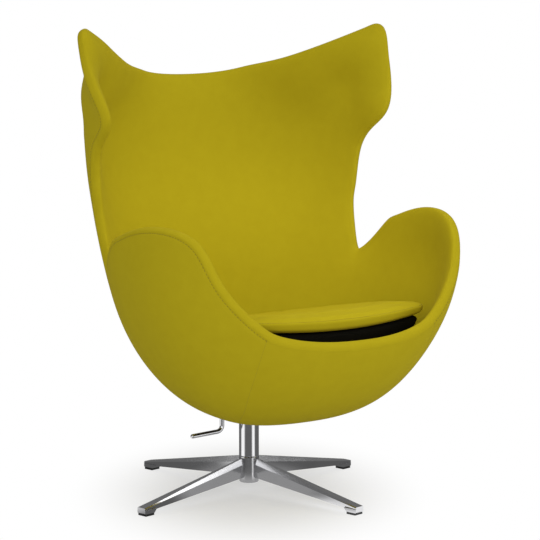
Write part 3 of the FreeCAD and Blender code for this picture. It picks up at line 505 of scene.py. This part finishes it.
def lining_grids():
    (back, lower, front), grids = shell_fields(2 * HALF_PAD, BOWL_FLOOR), []
    for field in (back, lower, front):
        away = line_distance(shell_point(*field), seam_points)
        if field is not lower:
            away[:, -1] = 0
        if field is not front:
            away[[0, -1], -1] = 0
        if field is back:
            away[[0, -1]] = 0
        grid = layer_point(*field, pad_depth(away)[..., None])
        if field is not back:
            grid[:, 0, 2] = BOWL_FLOOR
        grids.append(grid)
    return grids


def close_floor(work):
    """Closes the bowl's floor with one face"""
    low = [edge for edge in work.edges if edge.is_boundary
           and max(vert.co.z for vert in edge.verts) < BOWL_FLOOR * 0.001 + 0.001]
    bmesh.ops.contextual_create(work, geom=low)


def to_the_sitter(centre):
    x, y, z = away_from_middle(centre)
    return (-x, -y, -z)


bands = [rim_band(places) for places in (TOP_PLACES, WING_PLACES, rim_total - WING_PLACES, ARM_PLACES)]
lining = mesh_piece("shell_lining", lining_grids() + bands, to_the_sitter, close_floor)
lining = thicken(lining, COVER_THICKNESS)
lining.data.materials.append(FELT)
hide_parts("inner_cover")
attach(lining, "seat")
print("lining", len(lining.data.polygons), "faces")

# %% [markdown]
# ## Stitches along the seam
# The seam below the rim is closed by hand with small slip stitches. They repeat along a path, so
# Geometry Nodes place them: the path becomes evenly spaced points, and each point carries one
# short rounded stitch turned along the path.

# %% Stitch tree
def stitch_tree():
    tree = bpy.data.node_groups.new("stitches", "GeometryNodeTree")
    face = tree.interface
    face.new_socket("Geometry", in_out="INPUT", socket_type="NodeSocketGeometry")
    for name in ("Pitch", "Length", "Thickness"):
        face.new_socket(name, in_out="INPUT", socket_type="NodeSocketFloat")
    face.new_socket("Thread", in_out="INPUT", socket_type="NodeSocketMaterial")
    face.new_socket("Geometry", in_out="OUTPUT", socket_type="NodeSocketGeometry")
    add, link = tree.nodes.new, tree.links.new
    source, result = add("NodeGroupInput"), add("NodeGroupOutput")
    path, points = add("GeometryNodeMeshToCurve"), add("GeometryNodeCurveToPoints")
    points.mode = "LENGTH"
    ball, size = add("GeometryNodeMeshUVSphere"), add("ShaderNodeCombineXYZ")
    ball.inputs["Segments"].default_value, ball.inputs["Rings"].default_value = 6, 5
    ball.inputs["Radius"].default_value = 0.5
    place, real = add("GeometryNodeInstanceOnPoints"), add("GeometryNodeRealizeInstances")
    coat = add("GeometryNodeSetMaterial")
    link(source.outputs["Geometry"], path.inputs[0])
    link(path.outputs[0], points.inputs["Curve"])
    link(source.outputs["Pitch"], points.inputs["Length"])
    link(source.outputs["Thickness"], size.inputs["X"])
    link(source.outputs["Thickness"], size.inputs["Y"])
    link(source.outputs["Length"], size.inputs["Z"])
    link(points.outputs["Points"], place.inputs["Points"])
    link(points.outputs["Rotation"], place.inputs["Rotation"])
    link(ball.outputs["Mesh"], place.inputs["Instance"])
    link(size.outputs[0], place.inputs["Scale"])
    link(place.outputs[0], real.inputs[0])
    link(real.outputs[0], coat.inputs["Geometry"])
    link(source.outputs["Thread"], coat.inputs["Material"])
    link(coat.outputs[0], result.inputs[0])
    return tree


STITCHES = stitch_tree()


def sew(name, path, body, pitch, length, thickness, closed=True):
    """Stitches along a path of points in metres"""
    mesh = bpy.data.meshes.new(name)
    count = len(path)
    edges = [(i, (i + 1) % count) for i in range(count if closed else count - 1)]
    mesh.from_pydata([tuple(point) for point in path], edges, [])
    piece = bpy.data.objects.new(name, mesh)
    scene.collection.objects.link(piece)
    modifier = piece.modifiers.new("stitches", "NODES")
    modifier.node_group = STITCHES
    values = {"Pitch": pitch, "Length": length, "Thickness": thickness, "Thread": THREAD}
    for item in STITCHES.interface.items_tree:
        if item.in_out == "INPUT" and item.name in values:
            modifier[item.identifier] = values[item.name]
    bake(piece)
    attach(piece, body)
    return piece


seam_path = (sewn_points - sewn_beyond * 1.2 - sewn_normals * 1.3) * 0.001 + [0, COLUMN_Y, 0]
seam_stitches = sew("rim_seam_stitches", seam_path, "seat", 0.008, 0.0052, 0.0011, closed=False)
print("rim stitches", len(seam_stitches.data.polygons), "faces")

# %% [markdown]
# At each front corner the arm's wool meets the lip's, and a closed seam runs down over the belly. It
# follows a curve through a few places on the outer face, and the same tree sews it with finer
# stitches that nearly touch.

# %% Corner seams
CORNER_TURNS, CORNER_HEIGHTS = [118, 128.8, 137.8, 142.3, 146.2, 149.7], [196, 224, 281, 333, 382, 430]
corner_z = np.linspace(CORNER_HEIGHTS[0], CORNER_HEIGHTS[-1], 400)
corner_turn = smooth_curve(CORNER_HEIGHTS, CORNER_TURNS)(corner_z)
for side_name, turn in (("left", corner_turn), ("right", 360 - corner_turn)):
    corner_path = layer_point(turn, corner_z, 0.2) * 0.001 + [0, COLUMN_Y, 0]
    corner = sew("corner_stitches_" + side_name, corner_path, "seat", 0.0042, 0.0040, 0.0007, closed=False)
    print(corner.name, len(corner.data.polygons), "faces")

# %% [markdown]
# ## The seat cushion
# The loose cushion is cut like a rounded spade: a bowed front edge with two tight corners, sides
# that follow the bowl and a round back. It has a top panel, a boxing strip and a bottom panel. The
# sewn edges hold still while Blender's cloth blows the panels up a little, as the filling does.
# Then the flat cushion is bent to the bowl it lies in.

# %% Cushion outline
CUSHION_HALF, CUSHION_FRONT, CUSHION_BACK = 272.0, -262.0, 225.0
BOXING, CROWN = 23.0, 18.0
CUSHION_PLACE = (0.0, -122.0, 392.0)
SEAT_SLOPE = math.radians(-9)
SIDE_RISE, MIDDLE_SINK, SIDE_THINNING = 24.0, 4.0, 0.3


def seat_sag(x):
    """How far the seat lies above its plane at x from the middle"""
    return SIDE_RISE * (x / CUSHION_HALF) ** 2 - MIDDLE_SINK


def arc_through(a, b, c, count):
    """Points on the circle through three points, from a to c, without c"""
    (ax, ay), (bx, by), (cx, cy) = a, b, c
    d = 2 * (ax * (by - cy) + bx * (cy - ay) + cx * (ay - by))
    squares = [x * x + y * y for x, y in (a, b, c)]
    ux = (squares[0] * (by - cy) + squares[1] * (cy - ay) + squares[2] * (ay - by)) / d
    uy = (squares[0] * (cx - bx) + squares[1] * (ax - cx) + squares[2] * (bx - ax)) / d
    start, through, end = (math.atan2(y - uy, x - ux) for x, y in (a, b, c))
    turn = (end - start) % (2 * math.pi)
    if (through - start) % (2 * math.pi) > turn:
        turn -= 2 * math.pi
    angle = start + turn * np.arange(count) / count
    radius = math.hypot(ax - ux, ay - uy)
    return np.stack([ux + radius * np.cos(angle), uy + radius * np.sin(angle)], -1)


def spade(half, front, back, inset=0.0, count=240):
    """Closed outline of the cushion and the deck, evenly spaced, drawn in by inset"""
    half, front, back = half - inset, front + inset, back - inset
    bow, shoulder = front * 0.895, back * 0.55
    side = [(half * 0.81, bow), (half * 0.905, bow * 0.945), (half * 0.94, bow * 0.83), (half, front * 0.15),
            (half * 0.87, shoulder * 0.8), (half * 0.53, back * 0.86), (0, back)]
    other = [(-x, y) for x, y in reversed(side)]
    line = [arc_through(other[-1], (0, front), side[0], 60)]
    for chain in (side, other):
        line += [arc_through(*chain[i:i + 3], 60) for i in range(0, 6, 2)]
    line = np.vstack(line + [line[0][:1]])
    lengths = np.r_[0, np.cumsum(np.linalg.norm(np.diff(line, axis=0), axis=1))]
    places = np.linspace(0, lengths[-1], count + 1)[:-1]
    return np.stack([np.interp(places, lengths, line[:, k]) for k in range(2)], -1)


def stacked_rings(name, rings):
    """Closed mesh from rings of equal count, ended by a point at each end"""
    mesh, work = bpy.data.meshes.new(name), bmesh.new()
    rows = [[work.verts.new(point) for point in ring] for ring in rings]
    for one, two in zip(rows, rows[1:]):
        count = len(one)
        for i in range(count):
            j = (i + 1) % count
            work.faces.new((one[i], one[j], two[j], two[i]))
    for row, ring in ((rows[0], rings[0]), (rows[-1], rings[-1])):
        middle = work.verts.new(np.mean(ring, axis=0))
        for i in range(len(row)):
            work.faces.new((row[i], row[(i + 1) % len(row)], middle))
    bmesh.ops.recalc_face_normals(work, faces=work.faces)
    for face in work.faces:
        face.smooth = True
    work.to_mesh(mesh)
    work.free()
    piece = bpy.data.objects.new(name, mesh)
    scene.collection.objects.link(piece)
    return piece


def cushion_rings():
    """(height, inset) from the middle of the bottom, up the boxing, to the middle of the top"""
    bottom = [(0.0, inset) for inset in (214, 190, 165, 140, 110, 80, 55, 38, 26, 18, 12)]
    strip = smooth_curve([0, 0.12, 0.35, 0.65, 0.93, 1], [12, 4.6, 1.2, 0, 0.6, 1.8])
    boxing = [(BOXING * share, float(strip(share)))
              for share in (0.04, 0.12, 0.25, 0.4, 0.55, 0.7, 0.84, 0.95)]
    crown = smooth_curve([2, 6, 18, 45, 90, 150, 230], [0.05, 0.4, 0.77, 0.93, 0.82, 0.72, 0.7])
    dome = [(BOXING + CROWN * float(crown(inset)), inset)
            for inset in (2.2, 3.8, 6.5, 10, 14, 19, 26, 35, 46, 60, 76, 94, 115, 140, 165, 190, 214)]
    profile = bottom + boxing + [(BOXING, 1.8)] + dome
    rings = []
    for height, inset in profile:
        outline = spade(CUSHION_HALF, CUSHION_FRONT, CUSHION_BACK, inset)
        rings.append(np.column_stack([outline, np.full(len(outline), height)]) * 0.001)
    return rings, profile


cushion_levels, cushion_profile = cushion_rings()
cushion = stacked_rings("seat_cushion_cover", cushion_levels)
print("cushion starts with", len(cushion.data.vertices), "points")

# %% Fill the cushion
FILL_LIMIT = 0.0035


def fill(piece, held, frames=18):
    """Blows the panels up with cloth pressure; held points stay, others move at most the limit"""
    start = np.array([vert.co for vert in piece.data.vertices])
    group = piece.vertex_groups.new(name="held")
    group.add([int(i) for i in held], 1.0, "REPLACE")
    cloth = piece.modifiers.new("fill", "CLOTH")
    cloth.settings.vertex_group_mass = "held"
    cloth.settings.use_pressure = True
    cloth.settings.uniform_pressure_force = 4.0
    cloth.settings.tension_stiffness = cloth.settings.compression_stiffness = 25
    cloth.settings.bending_stiffness = 2.0
    cloth.settings.effector_weights.gravity = 0
    cloth.collision_settings.use_collision = False
    cloth.point_cache.frame_start, cloth.point_cache.frame_end = 1, frames
    for number in range(1, frames + 1):
        scene.frame_set(number)
    shaped = piece.evaluated_get(bpy.context.evaluated_depsgraph_get()).to_mesh()
    moved = np.array([vert.co for vert in shaped.vertices]) - start
    length = np.linalg.norm(moved, axis=1, keepdims=True)
    moved = moved / (length + 1e-9) * FILL_LIMIT * np.tanh(length / FILL_LIMIT)
    piece.modifiers.clear()
    piece.vertex_groups.clear()
    scene.frame_set(1)
    piece.data.vertices.foreach_set("co", (start + moved).ravel())
    return float(length.max())


ring_size = len(cushion_levels[0])
flat_rows = [i for i, (height, inset) in enumerate(cushion_profile) if height == 0.0]
edge_rows = [i for i, (height, inset) in enumerate(cushion_profile) if height == BOXING]
held = np.concatenate([np.arange(ring_size) + i * ring_size for i in flat_rows + edge_rows])
held = np.r_[held, len(cushion_levels) * ring_size]
print("cloth moved at most %.1f mm" % (fill(cushion, held) * 1000))

tilt = Matrix.Rotation(SEAT_SLOPE, 4, "X")
seat_offset = Vector(CUSHION_PLACE) * 0.001 + Vector((0, COLUMN_Y, 0))
seat_matrix = Matrix.Translation(seat_offset) @ tilt


def settle(points):
    """Bends flat points to the bowl: the middle sinks, the sides rise and get thinner"""
    points = np.array(points, float)
    side = (points[:, 0] * 1000 / CUSHION_HALF) ** 2
    points[:, 2] = points[:, 2] * (1 - SIDE_THINNING * side) + seat_sag(points[:, 0] * 1000) * 0.001
    return [seat_matrix @ Vector(point) for point in points]


flat_points = np.array([vert.co for vert in cushion.data.vertices])
cushion.data.vertices.foreach_set("co", np.array(settle(flat_points)).ravel())
cushion.data.materials.append(FELT)
smooth = cushion.modifiers.new("smooth", "SUBSURF")
smooth.levels = smooth.render_levels = 1
bake(cushion)
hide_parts("seat_cushion")
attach(cushion, "cushion")
print("cushion", len(cushion.data.polygons), "faces")

# %% [markdown]
# ## Seams of the cushion
# The boxing meets the top panel and the bottom panel in plain sewn seams. A fine line of stitches
# beside each edge marks them, made with the same tree as the rim's seam.

# %% Cushion stitches
for seam_name, height, inset in (("cushion_top_stitches", BOXING - 0.3, 1.4),
                                 ("cushion_low_stitches", 3.0, 5.0)):
    outline = spade(CUSHION_HALF, CUSHION_FRONT, CUSHION_BACK, inset, 600)
    flat_path = np.column_stack([outline, np.full(len(outline), height)]) * 0.001
    sewn = sew(seam_name, settle(flat_path), "cushion", 0.006, 0.0036, 0.0009)
    print(seam_name, len(sewn.data.polygons), "faces")

# %% [markdown]
# ## The deck under the cushion
# The cushion rests on a firm sloping pad. Only its front shows, deep in the shadow behind the lip. Its cloth
# is a near black weave, painted shade that stands in for the dark gap under the cushion. It is a stack of
# rings whose height follows the slope, and it widens upwards with the bowl.

# %% Deck pad
DECK_HALF, DECK_FRONT, DECK_BACK, DECK_FLARE = 240.0, -223.0, 184.0, 22.0
DECK_EDGE, DECK_CLEARANCE = 12.0, 2.5


def painted_shade_deck_cloth():
    cloth = Finish("deck_cloth")
    thread = cloth.node("ShaderNodeTexWave", {"wave_type": "BANDS", "bands_direction": "X"},
                        {"Vector": cloth.place(), "Scale": 260.0, "Distortion": 1.5, "Detail": 1.0})
    cross = cloth.node("ShaderNodeTexWave", {"wave_type": "BANDS", "bands_direction": "Y"},
                       {"Vector": cloth.place(), "Scale": 260.0, "Distortion": 1.5, "Detail": 1.0})
    weave = thread * cross
    # The near black colours are painted shade for the dark gap under the cushion; the weave is the cloth's
    # own pattern.
    colour = cloth.mix(weave, (0.003, 0.003, 0.002, 1), (0.009, 0.008, 0.005, 1))
    return cloth.surface(Base_Color=colour, Roughness=0.95 - weave * 0.1, Specular_IOR_Level=0.1,
                         Normal=cloth.bump(weave, 0.3, 0.0004))


def deck_top(x, y):
    slope = math.tan(-SEAT_SLOPE)
    return CUSHION_PLACE[2] - DECK_CLEARANCE - (y - CUSHION_PLACE[1]) * slope + seat_sag(x)


def deck_ring(inset, share, lower):
    outline = spade(DECK_HALF, DECK_FRONT, DECK_BACK, inset, 160)
    y = outline[:, 1] + CUSHION_PLACE[1]
    floor = BOWL_FLOOR + 0.6
    z = floor + (deck_top(outline[:, 0], y) - floor) * share - lower
    return np.column_stack([outline[:, 0], y, z]) * 0.001 + [0, COLUMN_Y, 0]


deck_rings = [deck_ring(60, 0, 0), deck_ring(1, 0, 0)]
for share in (0.25, 0.5, 0.75, 1):
    drawn_in = 1 - DECK_FLARE * share + 2.5 * math.sin(math.pi * share)
    deck_rings.append(deck_ring(drawn_in, share, DECK_EDGE * share))
for angle in (0.4, 0.8, 1.2, 1.57):
    drawn_in = 1 - DECK_FLARE + DECK_EDGE * (1 - math.cos(angle))
    deck_rings.append(deck_ring(drawn_in, 1, DECK_EDGE * (1 - math.sin(angle))))
deck_rings += [deck_ring(inset, 1, 0) for inset in (10, 40, 90, 150)]
deck = stacked_rings("deck_pad_cover", deck_rings)
deck.data.materials.append(painted_shade_deck_cloth())
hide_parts("deck_pad")
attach(deck, "seat")
print("deck", len(deck.data.polygons), "faces")

# %% [markdown]
# ## Finishes of the rigid pieces
# The cast base is polished by hand, so its gloss wanders a little and fine lines run over it. The
# column and the lever are bright chrome. Inside the shell are zinc-plated fasteners, black steel,
# nylon, rubber, plywood, a glass-fibre moulding and foam. Every one varies slightly, because a
# single flat value never looks real.

# %% Metals
def polished_casting():
    metal = Finish("polished_aluminium")
    haze = metal.noise(14, 4, 0.6)
    lines = metal.noise(220, 2, 0.6, stretch=(0.25, 0.25, 6.0))
    colour = metal.mix(haze, (0.50, 0.50, 0.51, 1), (0.60, 0.60, 0.61, 1))
    return metal.surface(Base_Color=colour, Metallic=1.0, Roughness=0.10 + haze * 0.10 + lines * 0.05,
                         Normal=metal.bump(lines, 0.05, 0.0004))


def bright_chrome():
    metal = Finish("chrome")
    smear = metal.noise(22, 3, 0.55)
    lines = metal.noise(300, 2, 0.5, stretch=(1.0, 1.0, 0.05))
    colour = metal.mix(smear, (0.60, 0.60, 0.61, 1), (0.68, 0.68, 0.69, 1))
    return metal.surface(Base_Color=colour, Metallic=1.0, Roughness=0.07 + smear * 0.06 + lines * 0.03)


def plated_steel(name, dark, light, rough):
    metal = Finish(name)
    cloud = metal.noise(180, 3, 0.6)
    colour = metal.mix(cloud, dark, light)
    return metal.surface(Base_Color=colour, Metallic=1.0, Roughness=rough + cloud * 0.15)


print("metals ready")

# %% Plastics, rubber, wood, foam
def moulded(name, dark, light, rough, grain=900, depth=0.0003):
    plastic = Finish(name)
    texture = plastic.noise(grain, 3, 0.55)
    patches = plastic.noise(45, 2, 0.5)
    return plastic.surface(Base_Color=plastic.mix(patches, dark, light), Roughness=rough + texture * 0.12,
                           Normal=plastic.bump(texture, 0.25, depth))


def plywood():
    wood = Finish("plywood")
    rings = wood.node("ShaderNodeTexWave", {"wave_type": "BANDS", "bands_direction": "Y"},
                      {"Vector": wood.place(), "Scale": 14.0, "Distortion": 6.0, "Detail": 3.0})
    pores = wood.noise(500, 3, 0.6, stretch=(0.1, 1, 1))
    colour = wood.mix(rings * 0.7 + pores * 0.3, (0.42, 0.27, 0.13, 1), (0.60, 0.43, 0.24, 1))
    grain = wood.bump(pores, 0.2, 0.0004)
    return wood.surface(Base_Color=colour, Roughness=0.6 + pores * 0.2, Normal=grain)


FINISHES = {
    "wool_felt": FELT,
    "polished_aluminium": polished_casting(),
    "chrome": bright_chrome(),
    "zinc_steel": plated_steel("zinc_steel", (0.40, 0.40, 0.41, 1), (0.55, 0.55, 0.54, 1), 0.28),
    "black_steel": moulded("black_steel", (0.012, 0.012, 0.013, 1), (0.022, 0.022, 0.023, 1), 0.42),
    "glide_plastic": moulded("glide_plastic", (0.008, 0.008, 0.008, 1), (0.016, 0.016, 0.016, 1), 0.5),
    "bearing_nylon": moulded("bearing_nylon", (0.62, 0.61, 0.55, 1), (0.74, 0.73, 0.67, 1), 0.45),
    "rubber": moulded("rubber", (0.012, 0.012, 0.012, 1), (0.024, 0.024, 0.024, 1), 0.75),
    "plywood": plywood(),
    "moulded_core": moulded("moulded_core", (0.17, 0.17, 0.16, 1), (0.24, 0.24, 0.22, 1), 0.4, 300, 0.0008),
    "foam": moulded("foam", (0.62, 0.57, 0.38, 1), (0.72, 0.67, 0.47, 1), 0.9, 700, 0.001),
}
for node, item in frame["nodes"].items():
    finish = FINISHES.get(SLOT_OF[node])
    if finish:
        item.data.materials.clear()
        item.data.materials.append(finish)
print(len(FINISHES), "finishes on", len(frame["nodes"]), "nodes")

# %% [markdown]
# ## Floor and light
# The picture has a white ground with a light grey shadow under the base. For the camera the floor
# is therefore mostly paper white, and lets through only a part of the real shadow near the chair.
# Bright metal shows the room rather than itself. So the rays that leave a glossy surface find a painted
# reflection on the floor: it glows dark, with two bright bands beside the camera and grey close round the
# base. Three large softboxes light the chair, and a narrow lamp above the seat lights the bowl and the
# cushion.

# %% Floor
floor_mesh = bpy.data.meshes.new("floor")
floor_mesh.from_pydata([(-9, -9, 0), (9, -9, 0), (9, 9, 0), (-9, 9, 0)], [], [(0, 1, 2, 3)])
floor = bpy.data.objects.new("floor", floor_mesh)
scene.collection.objects.link(floor)
ground = Finish("floor")
toward = math.atan2(to_camera.y, to_camera.x)
spot = ground.node("ShaderNodeMapping", {"vector_type": "TEXTURE"}, {
    "Vector": ground.place(), "Location": (0, COLUMN_Y, 0), "Rotation": (0, 0, toward)})
reach = ground.node("ShaderNodeVectorMath", {"operation": "LENGTH"}, {0: spot}, output=1)
pool = ground.node("ShaderNodeMapping", inputs={"Vector": spot, "Scale": (0.8, 1.25, 1)})
pool_reach = ground.node("ShaderNodeVectorMath", {"operation": "LENGTH"}, {0: pool}, output=1)


def ease(value, start, end, first, last):
    """Smooth change from first to last while the value goes from start to end"""
    return ground.node("ShaderNodeMapRange", {"interpolation_type": "SMOOTHSTEP"}, {
        "Value": value, "From Min": start, "From Max": end, "To Min": first, "To Max": last})


def glow(strength):
    return ground.node("ShaderNodeEmission", inputs={"Color": (1, 1, 1, 1), "Strength": strength})


def blend(amount, first, second):
    return ground.node("ShaderNodeMixShader", inputs={0: amount, 1: first, 2: second})


spot_x, spot_y = (ground.node("ShaderNodeSeparateXYZ", inputs={0: spot}, output=name) for name in "XY")
azimuth = ground.node("ShaderNodeMath", {"operation": "ARCTAN2"}, {0: spot_y, 1: spot_x})


def reflection_band(middle, width):
    off = ground.node("ShaderNodeMath", {"operation": "ABSOLUTE"}, {0: azimuth - math.radians(middle)})
    return ease(off, math.radians(width * 0.35), math.radians(width), 1.0, 0.0)


cloth_white = ground.node("ShaderNodeBsdfDiffuse", inputs={"Color": (0.86, 0.86, 0.86, 1)})
seen = ground.node("ShaderNodeLightPath", output="Is Camera Ray")
mirrored = ground.node("ShaderNodeLightPath", output="Is Glossy Ray")
lit_floor = blend(seen * ease(pool_reach, 0.12, 0.54, 0.44, 1.0), cloth_white, glow(1.0))
# Only glossy rays see this painted reflection: a dark glow with two bright bands by azimuth, and grey close
# round the base.
far_painted_reflection = blend(reflection_band(-74, 34) + reflection_band(52, 24), glow(0.16), glow(1.4))
painted_reflection_floor = blend(ease(reach, 0.14, 0.24, 1.0, 0.0), far_painted_reflection, glow(0.45))
ground.output(blend(mirrored, lit_floor, painted_reflection_floor))
floor_mesh.materials.append(ground.material)

# %% Light
world = bpy.data.worlds.new("studio")
scene.world = world
air = Finish("studio", world)


def sky(strength):
    return air.node("ShaderNodeBackground", inputs={"Color": (1, 1, 1, 1), "Strength": strength})


rays = {name: air.node("ShaderNodeLightPath", output="Is %s Ray" % name) for name in ("Camera", "Glossy")}
# Glossy rays see the world at 0.22 while it lights the chair at 0.60, which paints a darker reflection into
# the metal. The camera sees plain white.
around = air.node("ShaderNodeMixShader", inputs={0: rays["Glossy"], 1: sky(0.60), 2: sky(0.22)})
air.output(air.node("ShaderNodeMixShader", inputs={0: rays["Camera"], 1: around, 2: sky(1.0)}))


def softbox(name, at, aim, size, power, spread=180):
    lamp = bpy.data.lights.new(name, "AREA")
    lamp.shape, lamp.size, lamp.size_y, lamp.energy = "RECTANGLE", size[0], size[1], power
    lamp.spread = math.radians(spread)
    item = bpy.data.objects.new(name, lamp)
    item.location = at
    item.rotation_euler = (Vector(aim) - Vector(at)).to_track_quat("-Z", "Y").to_euler()
    scene.collection.objects.link(item)


softbox("front_softbox", (-2.4, -3.5, 1.3), (0, 0, 0.6), (3.0, 2.4), 52)
softbox("right_softbox", (2.6, -2.6, 1.3), (0, 0, 0.7), (1.6, 2.4), 26)
softbox("top_softbox", (0.2, -0.4, 3.2), (0, 0, 0.4), (2.2, 2.2), 12)
softbox("seat_fill", (-0.06, -0.24, 1.15), (0.06, 0.04, 0.42), (0.5, 0.4), 0.85, 85)
scene.view_settings.view_transform = "Standard"
print("floor and lights ready")
